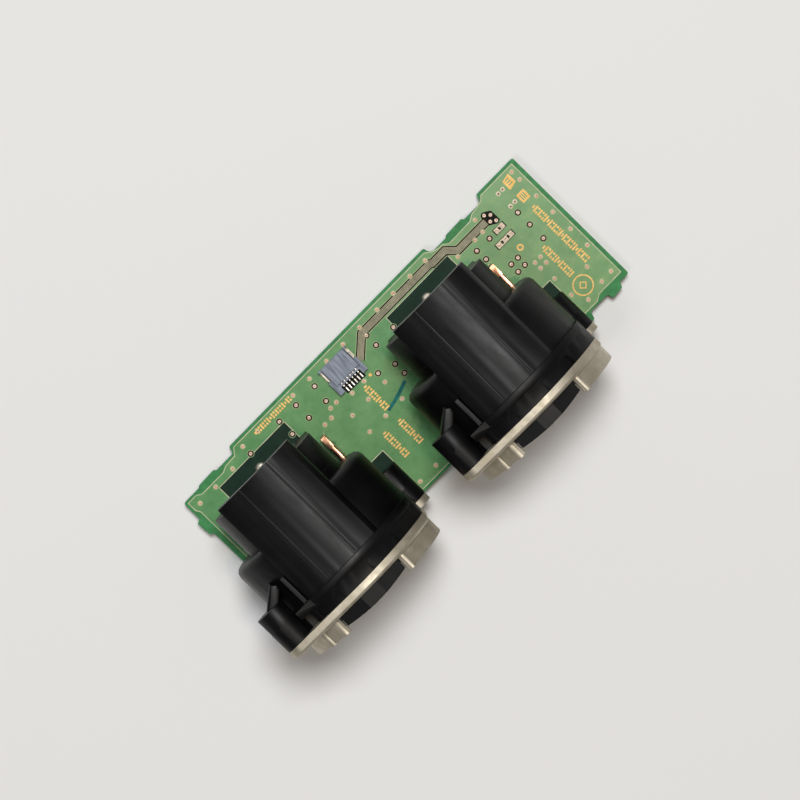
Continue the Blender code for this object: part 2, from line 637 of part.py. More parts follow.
def make_latch_hook(side, parent, materials):
    """A sheet lever on a pivot along X. Its tooth hangs into the bore; the button's ramps lift its wings."""
    pivot = Vector((0.0, LATCH_PIVOT_Y, AXIS_HEIGHT + LATCH_PIVOT_Z))
    thickness = 0.28 * MM
    under = -thickness / 2
    lever = box_mesh((-1.9 * MM, -8.7 * MM - pivot.y, under), (1.9 * MM, 0.3 * MM, -under))
    piece = Piece(f"{side}_latch_hook", lever, parent, materials["spring_steel"])
    piece.item.location = pivot
    tooth = [(-8.6 * MM - pivot.y, 0.0), (-8.2 * MM - pivot.y, -0.72 * MM), (-7.8 * MM - pivot.y, -0.72 * MM)]
    tooth += [(-7.8 * MM - pivot.y, 0.0)]
    piece.join(prism_mesh("X", tooth, -1.1 * MM, 1.1 * MM))
    wing_low = (-3.35 * MM, -6.9 * MM - pivot.y, under + 0.01 * MM)
    piece.join(box_mesh(wing_low, (3.35 * MM, -6.25 * MM - pivot.y, -under - 0.01 * MM)))
    piece.join(rod_mesh("X", 0.34 * MM, (0.0, 0.0), -2.6 * MM, 2.6 * MM, 12))
    for step in piece.item.modifiers:
        step.object.location = pivot
    return piece.shade()


def make_latch_spring(side, parent, materials):
    """A leaf that rests under the slot's roof and presses on the lever near its pivot."""
    c = AXIS_HEIGHT
    t = 0.14 * MM
    leaf = [(1.9 * MM, c + 10.72 * MM), (1.2 * MM, c + 10.72 * MM)]
    leaf += [(-3.6 * MM, c + 10.3 * MM), (-3.9 * MM, c + 10.36 * MM)]
    outline = leaf + [(y, z + t) for y, z in reversed(leaf)]
    mesh = prism_mesh("X", outline, -1.1 * MM, 1.1 * MM)
    return Piece(f"{side}_latch_spring", mesh, parent, materials["spring_steel"]).shade()


def make_socket(side, materials):
    stand = bpy.data.objects.new(f"{side}_socket", None)
    stand.location = (SOCKET_X[side], 0.0, BOARD_THICKNESS)
    parts.objects.link(stand)
    make_housing(side, stand, materials)
    make_front_plate(side, stand, materials)
    make_contact_insert(side, stand, materials)
    for name in CONTACT_ANGLES:
        make_contact(name, side, stand, materials)
    make_ground_contact(side, stand, materials)
    make_release_button(side, stand, materials)
    make_latch_hook(side, stand, materials)
    make_latch_spring(side, stand, materials)


# ---------------------------------------------------------------- the board


def board_outline():
    left, right = -BOARD_LENGTH / 2, BOARD_LENGTH / 2
    front, rear = -BOARD_DEPTH / 2, BOARD_DEPTH / 2
    r = BOARD_CORNER
    big = 0.8 * MM
    step = rear - REAR_STEP
    notch = rear - REAR_NOTCH_DEPTH
    front_step = front + FRONT_STEP
    corners = [(left, front, r), (FRONT_STEP_START, front, r)]
    corners += [(FRONT_STEP_START + 0.3 * MM, front_step, 0.2 * MM)]
    corners += tab(26.2 * MM, 28.4 * MM, front_step, -0.85 * MM)
    corners += [(right, front_step, r), (right, rear, r)]
    corners += [(REAR_NOTCH[1] + 0.15 * MM, rear, r), (REAR_NOTCH[1] - 0.15 * MM, notch, big)]
    corners += tab(20.3 * MM, 17.0 * MM, notch, 0.3 * MM)
    corners += [(REAR_NOTCH[0] + 0.15 * MM, notch, big), (REAR_NOTCH[0] - 0.15 * MM, rear, r)]
    corners += [(REAR_STEP_END + 0.1 * MM, rear, r), (REAR_STEP_END - 0.1 * MM, step, 0.4 * MM)]
    corners += tab(-24.2 * MM, -27.3 * MM, step, 0.28 * MM)
    corners += [(left, step, r)]
    corners += [(y_first, x, radius) for x, y_first, radius in tab(7.1 * MM, 4.5 * MM, left, -0.6 * MM)]
    return rounded(corners)


def tab(start, end, edge, proud):
    """Four corners of a broken tab that stands out from an edge between two places along it."""
    lean = 0.25 * MM if end > start else -0.25 * MM
    r = 0.15 * MM
    outer = [(start + lean, edge + proud, r), (end - lean, edge + 0.8 * proud, r)]
    return [(start, edge, r), *outer, (end, edge, r)]


def make_board(materials):
    mesh = prism_mesh("Z", board_outline(), 0.0, BOARD_THICKNESS)
    piece = Piece("pcb", mesh, None, materials["board"])
    below, above = -REACH, BOARD_THICKNESS + REACH
    for x0 in SOCKET_X.values():
        for x, y in PEGS:
            piece.cut(rod_mesh("Z", 0.8 * MM, (x0 + x, y), below, above, 16))
        for name in CONTACT_ANGLES:
            x = contact_centre(name)[0]
            y = STRIP_BACK[name] - STRIP_THICKNESS / 2
            piece.cut(rod_mesh("Z", 0.5 * MM, (x0 + x, y), below, above, 12))
        ground = (x0 + sum(GROUND_X) / 2, GROUND_TAIL_Y)
        piece.cut(rod_mesh("Z", 0.42 * MM, ground, below, above, 12))
    return piece.shade()


# ---------------------------------------------------------------- the flat-cable connector


FFC_HINGE_Y = -0.75 * MM  # hinge axis of the lid, from the connector's middle
FFC_HINGE_Z = 0.80 * MM
FFC_FLAP_THICKNESS = 0.3 * MM
HOLD_DOWN_X = 2.07 * MM  # inner face of the hold-down tabs
HOLD_DOWN_Y = (0.15 * MM, 1.75 * MM)


def make_ffc_housing(parent, materials):
    wide, deep, high = FFC_SIZE
    body = box_mesh((-wide / 2, -deep / 2, FIT), (wide / 2, deep / 2, high))
    piece = Piece("ffc_housing", body, parent, materials["grey_plastic"])
    # Notch for the solder tails between two legs
    notch_low = (-1.6 * MM, -deep / 2 - REACH, -REACH)
    piece.cut(box_mesh(notch_low, (1.6 * MM, -deep / 2 + 0.75 * MM, high + REACH)))
    # Mouth for the flat cable, open upwards where the lid lies
    piece.cut(box_mesh((-1.75 * MM, -0.9 * MM, 0.32 * MM), (1.75 * MM, deep / 2 + REACH, 0.62 * MM)))
    piece.cut(box_mesh((-1.97 * MM, -1.12 * MM, 0.6 * MM), (1.97 * MM, deep / 2 + REACH, high + REACH)))
    # Pivot holes for the lid, and one slit for each contact
    piece.cut(rod_mesh("X", 0.19 * MM, (FFC_HINGE_Y, FFC_HINGE_Z), -2.2 * MM, 2.2 * MM, 10))
    for i in range(FFC_WAYS):
        x = (i - (FFC_WAYS - 1) / 2) * FFC_PITCH
        piece.cut(box_mesh((x - 0.13 * MM, -deep / 2 - REACH, -REACH), (x + 0.13 * MM, 1.3 * MM, 0.65 * MM)))
    # Pockets for the hold-down tabs
    for sign in (-1.0, 1.0):
        x = sorted((sign * (HOLD_DOWN_X - 0.06 * MM), sign * (wide / 2 + REACH)))
        pocket_low = (x[0], HOLD_DOWN_Y[0] - 0.06 * MM, -REACH)
        piece.cut(box_mesh(pocket_low, (x[1], HOLD_DOWN_Y[1] + 0.06 * MM, high + REACH)))
    return piece.shade()


def make_ffc_contact(i, parent, materials):
    x = (i - (FFC_WAYS - 1) / 2) * FFC_PITCH
    rear = -FFC_SIZE[1] / 2
    side = [(rear - 0.35 * MM, 0.03 * MM), (1.2 * MM, 0.03 * MM), (1.2 * MM, 0.24 * MM)]
    side += [(rear + 1.17 * MM, 0.24 * MM), (rear + 1.17 * MM, 0.5 * MM), (rear + 0.5 * MM, 0.5 * MM)]
    side += [(rear + 0.3 * MM, 0.16 * MM), (rear - 0.35 * MM, 0.16 * MM)]
    mesh = prism_mesh("X", side, x - 0.09 * MM, x + 0.09 * MM)
    return Piece(f"ffc_contact_{i + 1}", mesh, parent, materials["silver"]).shade()


def make_ffc_hold_down(name, sign, parent, materials):
    near, far = HOLD_DOWN_Y
    x = sorted((sign * HOLD_DOWN_X, sign * (HOLD_DOWN_X + 0.2 * MM)))
    strip = box_mesh((x[0], near, 0.03 * MM), (x[1], far, 0.95 * MM))
    piece = Piece(name, strip, parent, materials["silver"])
    # Foot that is soldered down
    x = sorted((sign * (HOLD_DOWN_X + 0.02 * MM), sign * (FFC_SIZE[0] / 2 - 0.02 * MM)))
    piece.join(box_mesh((x[0], near + 0.1 * MM, 0.02 * MM), (x[1], far - 0.1 * MM, 0.17 * MM)))
    return piece.shade()


def make_ffc_flap(parent, materials):
    """The lid. Its object stands on the hinge axis, and its rear edge swings up."""
    deep = FFC_SIZE[1]
    low = FFC_SIZE[2] - FFC_HINGE_Z - FFC_FLAP_THICKNESS
    lid_high = (1.9 * MM, deep / 2 - FFC_HINGE_Y - 0.05 * MM, low + FFC_FLAP_THICKNESS)
    lid = box_mesh((-1.9 * MM, -0.1 * MM, low), lid_high)
    piece = Piece("ffc_flap", lid, parent, materials["grey_plastic"])
    piece.item.location = (0.0, FFC_HINGE_Y, FFC_HINGE_Z)
    piece.join(rod_mesh("X", 0.13 * MM, (0.0, 0.0), -2.12 * MM, 2.12 * MM, 10))
    for step in piece.item.modifiers:
        step.object.location = piece.item.location
    return piece.shade()


def make_ffc(materials):
    stand = bpy.data.objects.new("ffc_connector", None)
    stand.location = (FFC_CENTRE[0], FFC_CENTRE[1], BOARD_THICKNESS)
    parts.objects.link(stand)
    make_ffc_housing(stand, materials)
    for i in range(FFC_WAYS):
        make_ffc_contact(i, stand, materials)
    make_ffc_hold_down("ffc_hold_down_left", -1.0, stand, materials)
    make_ffc_hold_down("ffc_hold_down_right", 1.0, stand, materials)
    make_ffc_flap(stand, materials)


def main():
    global parts, cutters
    clear_scene()
    parts = new_collection(OBJECT_NAME)
    cutters = new_collection("cutters")
    materials = make_materials()
    make_board(materials)
    make_ffc(materials)
    for side in SOCKET_X:
        make_socket(side, materials)


main()
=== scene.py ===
"""Looks for the audio connector board: finishes, rounded edges, board artwork and solder."""

import json
import math

import bmesh
import bpy
from mathutils import Matrix, Vector


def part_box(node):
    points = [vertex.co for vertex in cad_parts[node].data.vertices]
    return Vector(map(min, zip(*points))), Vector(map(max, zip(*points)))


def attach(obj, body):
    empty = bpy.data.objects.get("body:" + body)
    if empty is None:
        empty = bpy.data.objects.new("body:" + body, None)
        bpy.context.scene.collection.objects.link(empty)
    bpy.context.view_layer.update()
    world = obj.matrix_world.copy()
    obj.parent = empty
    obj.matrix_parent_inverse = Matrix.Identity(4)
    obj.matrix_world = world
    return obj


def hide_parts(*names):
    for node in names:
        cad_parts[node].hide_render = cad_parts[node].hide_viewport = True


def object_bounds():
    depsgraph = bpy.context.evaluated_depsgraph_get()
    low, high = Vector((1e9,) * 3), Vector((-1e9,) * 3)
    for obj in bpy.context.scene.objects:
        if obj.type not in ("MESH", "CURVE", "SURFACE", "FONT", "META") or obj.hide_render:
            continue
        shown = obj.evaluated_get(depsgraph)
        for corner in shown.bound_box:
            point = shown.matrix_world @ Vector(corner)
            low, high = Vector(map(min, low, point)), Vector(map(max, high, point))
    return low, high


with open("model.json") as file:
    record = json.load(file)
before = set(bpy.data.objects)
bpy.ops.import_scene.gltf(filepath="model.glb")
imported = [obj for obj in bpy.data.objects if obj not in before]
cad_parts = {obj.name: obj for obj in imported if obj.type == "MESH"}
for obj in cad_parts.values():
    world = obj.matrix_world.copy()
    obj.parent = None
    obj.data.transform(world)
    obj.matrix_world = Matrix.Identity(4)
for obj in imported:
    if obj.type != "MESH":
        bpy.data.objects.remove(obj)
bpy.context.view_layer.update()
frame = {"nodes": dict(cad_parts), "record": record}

MM = 0.001
UM = 0.001 * MM


def middle_x(node):
    """Middle of a node along X, in millimetres."""
    low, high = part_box(node)
    return round((low.x + high.x) / 2.0 / MM, 3)


UNDER = 0.0  # the frame's origin lies in the board's underside
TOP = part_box("pcb")[1].z
SOCKET_X = {side: middle_x(f"{side}_contact_insert") for side in ("left", "right")}
FFC_X = middle_x("ffc_housing")
BODY_OF_NODE = {n: b for b, members in frame["record"]["behaviour"]["bodies"].items() for n in members}


# ---------------------------------------------------------------- materials

METAL_SPECULAR = 0.5
PLAIN_SPECULAR = 0.3
# The stretch of the noise's values that roughness is spread over
NOISE_LOW = 0.3
NOISE_HIGH = 0.7


def shader_material(name, colour, roughness, metallic=0.0, **sockets):
    """A Principled material whose constant values sit on the shader's own sockets."""
    material = bpy.data.materials.new(name)
    material.use_nodes = True
    shader = material.node_tree.nodes["Principled BSDF"]
    shader.inputs["Base Color"].default_value = (*colour, 1.0)
    shader.inputs["Roughness"].default_value = roughness
    shader.inputs["Metallic"].default_value = metallic
    shader.inputs["Specular IOR Level"].default_value = METAL_SPECULAR if metallic else PLAIN_SPECULAR
    for socket, value in sockets.items():
        shader.inputs[socket.replace("_", " ")].default_value = value
    return material


def noise(tree, scale, detail=3.0, stretch=(1.0, 1.0, 1.0)):
    """Noise in the object's own metres; scale is in waves per millimetre."""
    place = tree.nodes.new("ShaderNodeTexCoord")
    mapping = tree.nodes.new("ShaderNodeMapping")
    mapping.inputs["Scale"].default_value = [s * scale / MM for s in stretch]
    texture = tree.nodes.new("ShaderNodeTexNoise")
    texture.inputs["Scale"].default_value = 1.0
    texture.inputs["Detail"].default_value = detail
    tree.links.new(place.outputs["Object"], mapping.inputs["Vector"])
    tree.links.new(mapping.outputs["Vector"], texture.inputs["Vector"])
    return texture.outputs["Fac"]


def vary_colour(material, dark, light, scale, detail=3.0, low=0.35, high=0.65, stretch=(1.0, 1.0, 1.0)):
    """Base colour that wanders between two colours."""
    tree = material.node_tree
    ramp = tree.nodes.new("ShaderNodeValToRGB")
    ramp.color_ramp.elements[0].position = low
    ramp.color_ramp.elements[1].position = high
    ramp.color_ramp.elements[0].color = (*dark, 1.0)
    ramp.color_ramp.elements[1].color = (*light, 1.0)
    tree.links.new(noise(tree, scale, detail, stretch), ramp.inputs["Fac"])
    tree.links.new(ramp.outputs["Color"], tree.nodes["Principled BSDF"].inputs["Base Color"])


def vary_roughness(material, low, high, scale, detail=2.0, stretch=(1.0, 1.0, 1.0)):
    """Roughness that wanders between two values."""
    tree = material.node_tree
    spread = tree.nodes.new("ShaderNodeMapRange")
    spread.inputs["From Min"].default_value = NOISE_LOW
    spread.inputs["From Max"].default_value = NOISE_HIGH
    spread.inputs["To Min"].default_value = low
    spread.inputs["To Max"].default_value = high
    tree.links.new(noise(tree, scale, detail, stretch), spread.inputs["Value"])
    tree.links.new(spread.outputs["Result"], tree.nodes["Principled BSDF"].inputs["Roughness"])


def add_bump(material, scale, height, strength=0.5, detail=2.0, stretch=(1.0, 1.0, 1.0)):
    """Surface relief of the given height, in millimetres."""
    tree = material.node_tree
    bump = tree.nodes.new("ShaderNodeBump")
    bump.inputs["Strength"].default_value = strength
    bump.inputs["Distance"].default_value = height * MM
    tree.links.new(noise(tree, scale, detail, stretch), bump.inputs["Height"])
    tree.links.new(bump.outputs["Normal"], tree.nodes["Principled BSDF"].inputs["Normal"])


def board_finishes():
    """Solder mask, bare laminate, the copper's pale border and the printing."""
    made = {}

    mask = shader_material("mask_over_copper", (0.09, 0.26, 0.09), 0.28)
    vary_colour(mask, (0.070, 0.225, 0.072), (0.105, 0.275, 0.095), 0.35, 5.0)
    vary_roughness(mask, 0.24, 0.32, 1.3)
    add_bump(mask, 1.6, 0.006, 0.3)
    made["mask"] = mask

    edge = shader_material("board_laminate", (0.03, 0.20, 0.06), 0.5, Specular_IOR_Level=0.2)
    vary_colour(edge, (0.022, 0.165, 0.045), (0.038, 0.23, 0.07), 1.2, 4.0)
    add_bump(edge, 6.0, 0.01, 0.4)
    made["laminate"] = edge

    bare = shader_material("mask_over_laminate", (0.004, 0.022, 0.012), 0.45, Specular_IOR_Level=0.08)
    vary_colour(bare, (0.003, 0.018, 0.009), (0.005, 0.026, 0.014), 0.8, 4.0)
    add_bump(bare, 1.6, 0.008, 0.3)
    made["bare"] = bare

    line = shader_material("copper_edge", (0.46, 0.46, 0.28), 0.4)
    vary_colour(line, (0.40, 0.42, 0.24), (0.58, 0.56, 0.38), 1.0)
    made["copper_edge"] = line

    gold = shader_material("gold_marks", (0.84, 0.50, 0.13), 0.5)
    vary_colour(gold, (0.78, 0.42, 0.09), (0.90, 0.60, 0.20), 2.5)
    add_bump(gold, 8.0, 0.01, 0.4)
    made["gold"] = gold

    teal = shader_material("teal_line", (0.003, 0.11, 0.10), 0.45, Specular_IOR_Level=0.1)
    vary_colour(teal, (0.002, 0.08, 0.075), (0.004, 0.15, 0.13), 2.0)
    made["teal"] = teal
    return made


def via_finishes():
    """Vias with their clearings, lands and centres, and the fine traces."""
    made = {}

    pink = shader_material("tented_vias", (0.62, 0.38, 0.25), 0.4)
    vary_colour(pink, (0.54, 0.32, 0.20), (0.72, 0.47, 0.33), 3.0)
    made["tented"] = pink

    # Pale green for the rims round tented vias, traces and ringed vias; round the ringed vias it is also
    # painted sheen, light caught on the mask's edge
    rims_and_sheen = shader_material("pale_rims_and_sheen", (0.30, 0.38, 0.17), 0.4)
    vary_colour(rims_and_sheen, (0.24, 0.36, 0.15), (0.38, 0.43, 0.22), 3.0)
    made["rims_and_sheen"] = rims_and_sheen

    dark = shader_material("via_clearance", (0.006, 0.008, 0.005), 0.5, Specular_IOR_Level=0.05)
    vary_colour(dark, (0.004, 0.006, 0.004), (0.012, 0.012, 0.008), 3.0)
    made["clearance"] = dark

    centre = shader_material("via_centres", (0.14, 0.05, 0.03), 0.4)
    vary_colour(centre, (0.09, 0.03, 0.02), (0.20, 0.08, 0.05), 4.0)
    made["via_centre"] = centre

    cream = shader_material("cream_rings", (0.62, 0.52, 0.36), 0.4)
    vary_colour(cream, (0.50, 0.44, 0.28), (0.76, 0.66, 0.50), 4.0)
    made["cream"] = cream

    tan = shader_material("via_lands", (0.70, 0.50, 0.38), 0.3)
    vary_colour(tan, (0.52, 0.32, 0.22), (0.88, 0.72, 0.60), 5.0, 3.0, 0.42, 0.58)
    made["land"] = tan

    trace = shader_material("trace_bed", (0.008, 0.007, 0.005), 0.45, Specular_IOR_Level=0.05)
    vary_colour(trace, (0.005, 0.004, 0.003), (0.012, 0.010, 0.007), 1.5)
    made["trace_bed"] = trace

    wire = shader_material("traces", (0.30, 0.28, 0.17), 0.4)
    vary_colour(wire, (0.25, 0.235, 0.14), (0.37, 0.34, 0.22), 1.2)
    made["trace"] = wire
    return made


def metal_finishes():
    """Solder, tin, nickel, silver, bronze and spring steel."""
    made = {}

    tin = shader_material("solder", (0.52, 0.50, 0.46), 0.45, 1.0)
    vary_colour(tin, (0.38, 0.36, 0.32), (0.66, 0.64, 0.60), 2.0)
    vary_roughness(tin, 0.36, 0.56, 3.0)
    add_bump(tin, 3.0, 0.02, 0.3)
    made["solder"] = tin

    dull = shader_material("tinned_steel", (0.34, 0.31, 0.26), 0.5, 1.0)
    vary_colour(dull, (0.24, 0.22, 0.18), (0.44, 0.41, 0.35), 2.0)
    vary_roughness(dull, 0.42, 0.6, 3.0)
    made["tinned_steel"] = dull

    nickel = shader_material("nickel_plate", (0.56, 0.51, 0.40), 0.5, 1.0)
    vary_colour(nickel, (0.475, 0.43, 0.335), (0.575, 0.53, 0.435), 0.5, 4.0)
    vary_roughness(nickel, 0.52, 0.68, 1.2, 3.0, (1.0, 1.0, 0.3))
    add_bump(nickel, 3.0, 0.008, 0.4, 3.0)
    made["nickel_plate"] = nickel

    silver = shader_material("silver_contact", (0.80, 0.79, 0.76), 0.2, 1.0)
    vary_colour(silver, (0.70, 0.69, 0.66), (0.84, 0.83, 0.80), 0.8)
    vary_roughness(silver, 0.14, 0.3, 2.0)
    add_bump(silver, 4.0, 0.004, 0.3)
    made["silver_contact"] = silver

    bronze = shader_material("bronze_contact", (0.62, 0.30, 0.17), 0.3, 1.0)
    vary_colour(bronze, (0.52, 0.23, 0.12), (0.72, 0.42, 0.28), 0.9, 3.0)
    vary_roughness(bronze, 0.24, 0.4, 2.0)
    add_bump(bronze, 5.0, 0.006, 0.4)
    made["bronze_contact"] = bronze

    steel = shader_material("spring_steel", (0.48, 0.48, 0.48), 0.28, 1.0)
    vary_colour(steel, (0.42, 0.42, 0.42), (0.54, 0.54, 0.54), 0.8)
    add_bump(steel, 6.0, 0.004, 0.4, 2.0, (1.0, 0.1, 1.0))
    made["spring_steel"] = steel
    return made


def plastic_finishes():
    """The sockets' black plastic and the flat-cable connector's grey."""
    made = {}

    black = shader_material("black_plastic", (0.002, 0.002, 0.0022), 0.42, Specular_IOR_Level=0.19)
    vary_colour(black, (0.0012, 0.0012, 0.0013), (0.0032, 0.0032, 0.0036), 0.25, 5.0)
    vary_roughness(black, 0.36, 0.48, 0.6, 4.0, (1.0, 0.35, 1.0))
    add_bump(black, 9.0, 0.012, 0.5, 3.0)
    made["black_plastic"] = black

    grey = shader_material("grey_plastic", (0.20, 0.235, 0.30), 0.45)
    vary_colour(grey, (0.11, 0.135, 0.185), (0.235, 0.27, 0.335), 3.5, 4.0, stretch=(1.0, 0.12, 1.0))
    add_bump(grey, 7.0, 0.012, 0.5, 2.0, (1.0, 0.1, 1.0))
    made["grey_plastic"] = grey
    return made


materials = {**board_finishes(), **via_finishes(), **metal_finishes(), **plastic_finishes()}


# ---------------------------------------------------------------- shapes

WELD = 0.0005 * MM  # points this close are one
TURNED_SHARP = 40.0  # degrees between faces, past which an edge of a turned shape stays sharp


def add_piece(name, mesh, material, body="board"):
    """A piece of the visual model that rides on a body."""
    item = bpy.data.objects.new(name, mesh)
    bpy.context.scene.collection.objects.link(item)
    mesh.materials.clear()
    mesh.materials.append(materials[material])
    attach(item, body)
    return item


def mesh_from(builder, name):
    """The builder's mesh with its faces pointing outwards; the builder is used up."""
    mesh = bpy.data.meshes.new(name)
    bmesh.ops.recalc_face_normals(builder, faces=builder.faces)
    builder.to_mesh(mesh)
    builder.free()
    return mesh


def flat_mesh(name, outlines, low, high):
    """Thin plates with holes between two heights: outlines in millimetres, filled in and out by turns."""
    curve = bpy.data.curves.new(name, "CURVE")
    curve.dimensions = "2D"
    curve.fill_mode = "BOTH"
    curve.extrude = (high - low) / 2.0
    for outline in outlines:
        spline = curve.splines.new("POLY")
        spline.points.add(len(outline) - 1)
        for point, (u, v) in zip(spline.points, outline):
            point.co = (u * MM, v * MM, 0.0, 1.0)
        spline.use_cyclic_u = True
    flat = bpy.data.objects.new(name, curve)
    bpy.context.scene.collection.objects.link(flat)
    bpy.context.view_layer.update()
    depsgraph = bpy.context.evaluated_depsgraph_get()
    mesh = bpy.data.meshes.new_from_object(flat.evaluated_get(depsgraph))
    bpy.data.objects.remove(flat, do_unlink=True)
    builder = bmesh.new()
    builder.from_mesh(mesh)
    bmesh.ops.remove_doubles(builder, verts=builder.verts, dist=WELD)
    builder.transform(Matrix.Translation((0.0, 0.0, (low + high) / 2.0)))
    bpy.data.meshes.remove(mesh)
    return mesh_from(builder, name)


def circle(x, y, radius, sides=20):
    """A regular outline round a point."""
    turns = [2.0 * math.pi * i / sides for i in range(sides)]
    return [(x + radius * math.cos(t), y + radius * math.sin(t)) for t in turns]


def rectangle(x0, y0, x1, y1):
    return [(x0, y0), (x1, y0), (x1, y1), (x0, y1)]


def turned(name, places, profile, sides=20):
    """The same turned shape at several places (x, y, z); the profile is (radius, height) in millimetres."""
    builder = bmesh.new()
    for x, y, z in places:
        rings = []
        for radius, height in profile:
            round_points = circle(x, y, radius, sides) if radius else [(x, y)]
            level = z + height * MM
            rings.append([builder.verts.new((u * MM, v * MM, level)) for u, v in round_points])
        for first, second in zip(rings, rings[1:]):
            for i in range(sides):
                steps = ((first, i), (first, i + 1), (second, i + 1), (second, i))
                corners = [ring[k % len(ring)] for ring, k in steps]
                builder.faces.new(list(dict.fromkeys(corners)))
    mesh = mesh_from(builder, name)
    mesh.shade_smooth()
    mesh.set_sharp_from_angle(angle=math.radians(TURNED_SHARP))
    return mesh


# ---------------------------------------------------------------- CAD nodes with rounded edges

SAME_FLAT = 0.5  # degrees; triangles that differ by less are one flat face
ROUNDED_FROM = 32.0  # degrees between faces, from which an edge is rounded
BUTTON_ROUNDED_FROM = 12.0  # the same for the buttons, whose tops meet at shallow angles
ROUNDING_STEPS = 2


def rounded_node(node, width, material, limit=ROUNDED_FROM, flats_joined=True):
    """The node's own shape with its sharp edges rounded to a width in millimetres."""
    source = frame["nodes"][node]
    builder = bmesh.new()
    builder.from_mesh(source.data)
    bmesh.ops.remove_doubles(builder, verts=builder.verts, dist=WELD)
    if flats_joined:
        same = math.radians(SAME_FLAT)
        bmesh.ops.dissolve_limit(builder, angle_limit=same, verts=builder.verts, edges=builder.edges)
    mesh = mesh_from(builder, f"{node}_finished")
    item = add_piece(f"{node}_finished", mesh, material, BODY_OF_NODE[node])
    if width:
        bevel = item.modifiers.new("rounded", "BEVEL")
        bevel.width = width * MM
        bevel.segments = ROUNDING_STEPS
        bevel.limit_method = "ANGLE"
        bevel.angle_limit = math.radians(limit)
        bevel.harden_normals = True
        bevel.use_clamp_overlap = True
    mesh.shade_smooth()
    mesh.set_sharp_from_angle(angle=math.radians(limit))
    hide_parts(node)


# Each socket part's rounding in millimetres, material and slot
SOCKET_PARTS = {
    "housing": (0.12, "black_plastic", "black_plastic"),
    "front_plate": (0.12, "nickel_plate", "nickel_plate"),
    "contact_insert": (0.10, "black_plastic", "black_plastic"),
    "ground_contact": (0.03, "bronze_contact", "bronze_contact"),
    "contact_1": (0.05, "silver_contact", "silver_contact"),
    "contact_2": (0.05, "silver_contact", "silver_contact"),
    "contact_3": (0.05, "silver_contact", "silver_contact"),
    "latch_hook": (0.04, "spring_steel", "spring_steel"),
    "latch_spring": (0.0, "spring_steel", "spring_steel"),
}
BUTTON_ROUNDING = 0.05
BOARD_ROUNDING = 0.05
FFC_HOUSING_ROUNDING = 0.03
FFC_FLAP_ROUNDING = 0.04
HOLD_DOWN_ROUNDING = 0.03
FFC_CONTACT_ROUNDING = 0.02
FFC_CONTACTS = 6

for side in SOCKET_X:
    for part, (width, material, slot) in SOCKET_PARTS.items():
        rounded_node(f"{side}_{part}", width, material)
    button = f"{side}_release_button"
    rounded_node(button, BUTTON_ROUNDING, "black_plastic", limit=BUTTON_ROUNDED_FROM)
rounded_node("pcb", BOARD_ROUNDING, "laminate")
rounded_node("ffc_housing", FFC_HOUSING_ROUNDING, "grey_plastic", flats_joined=False)
rounded_node("ffc_flap", FFC_FLAP_ROUNDING, "grey_plastic")
for side in ("left", "right"):
    rounded_node(f"ffc_hold_down_{side}", HOLD_DOWN_ROUNDING, "tinned_steel")
for i in range(FFC_CONTACTS):
    rounded_node(f"ffc_contact_{i + 1}", FFC_CONTACT_ROUNDING, "solder")


# ---------------------------------------------------------------- board artwork, in millimetres

MASK_HIGH = 30 * UM
BARE_HIGH = 12 * UM
# How far each piece stands above the mask
OVER_MASK = {
    "pcb_clearing_edges": 3 * UM,
    "pcb_pour_edge": 4 * UM,
    "pad_clearings": 4 * UM,
    "pad_rails": 8 * UM,
    "pad_gaps": 10 * UM,
    "trace_rims": 3 * UM,
    "trace_bed": 4 * UM,
    "trace_end": 5 * UM,
    "traces": 10 * UM,
    "teal_line": 6 * UM,
    "printed_marks": 12 * UM,
    "ffc_dark_strip": 2 * UM,
}


LEAST_COSINE = 0.4  # bounds how far a sharp corner is drawn out


def offset(outline, distance):
    """The outline moved outwards by a distance, its corners kept sharp."""
    area = sum(a[0] * b[1] - b[0] * a[1] for a, b in zip(outline, outline[1:] + outline[:1]))
    way = distance if area > 0.0 else -distance
    moved = []
    for i, point in enumerate(outline):
        here = Vector(point)
        before = (here - Vector(outline[i - 1])).normalized()
        after = (Vector(outline[(i + 1) % len(outline)]) - here).normalized()
        normal = Vector((before.y + after.y, -before.x - after.x)).normalized()
        reach = way / max(LEAST_COSINE, normal.dot(Vector((before.y, -before.x))))
        moved.append(tuple(here + normal * reach))
    return moved


def print_plates(name, shapes, material, low=MASK_HIGH, high=None):
    """Thin plates on the board's top, which may touch or cross, as one piece; heights are above that top."""
    if high is None:
        high = MASK_HIGH + OVER_MASK.get(name, 0.0)
    builder = bmesh.new()
    for outlines in shapes:
        mesh = flat_mesh(name, outlines, TOP + low, TOP + high)
        builder.from_mesh(mesh)
        bpy.data.meshes.remove(mesh)
    add_piece(name, mesh_from(builder, name), material)


# Mask over copper with its pale border, and the bare areas under and behind the sockets
POUR = [
    (-29.2, -3.3), (-7.62, -3.3), (-7.62, -10.35), (1.0, -10.35), (1.0, -3.3), (22.42, -3.3),
    (22.42, -9.42), (24.7, -9.42), (25.5, -8.94), (29.35, -8.94), (29.35, 10.3), (23.9, 10.3),
    (23.45, 9.83), (22.5, 9.59), (21.4, 9.43), (20.6, 8.96), (16.8, 8.88), (16.04, 9.43), (15.4, 9.43),
    (14.5, 9.67), (13.7, 10.3), (-20.5, 10.3), (-21.2, 9.43), (-22.9, 9.35), (-23.7, 8.99), (-27.5, 8.99),
    (-28.2, 9.43), (-29.54, 9.43), (-29.54, 8.2), (-29.2, 7.6),
]
CLEARINGS = [rectangle(-25.5, -2.5, -13.72, 8.12), rectangle(4.5, -2.5, 15.6, 8.1)]
FEET = [rectangle(-29.1, -10.72, -7.74, -3.42), rectangle(1.12, -10.72, 22.30, -3.42)]
POUR_EDGE = 0.10
CLEARING_EDGE = 0.09
GROUND_TAIL = (8.36, 1.7)
GROUND_HOLE = 0.55
GROUND_TAILS = [(x0 + GROUND_TAIL[0], GROUND_TAIL[1]) for x0 in SOCKET_X.values()]

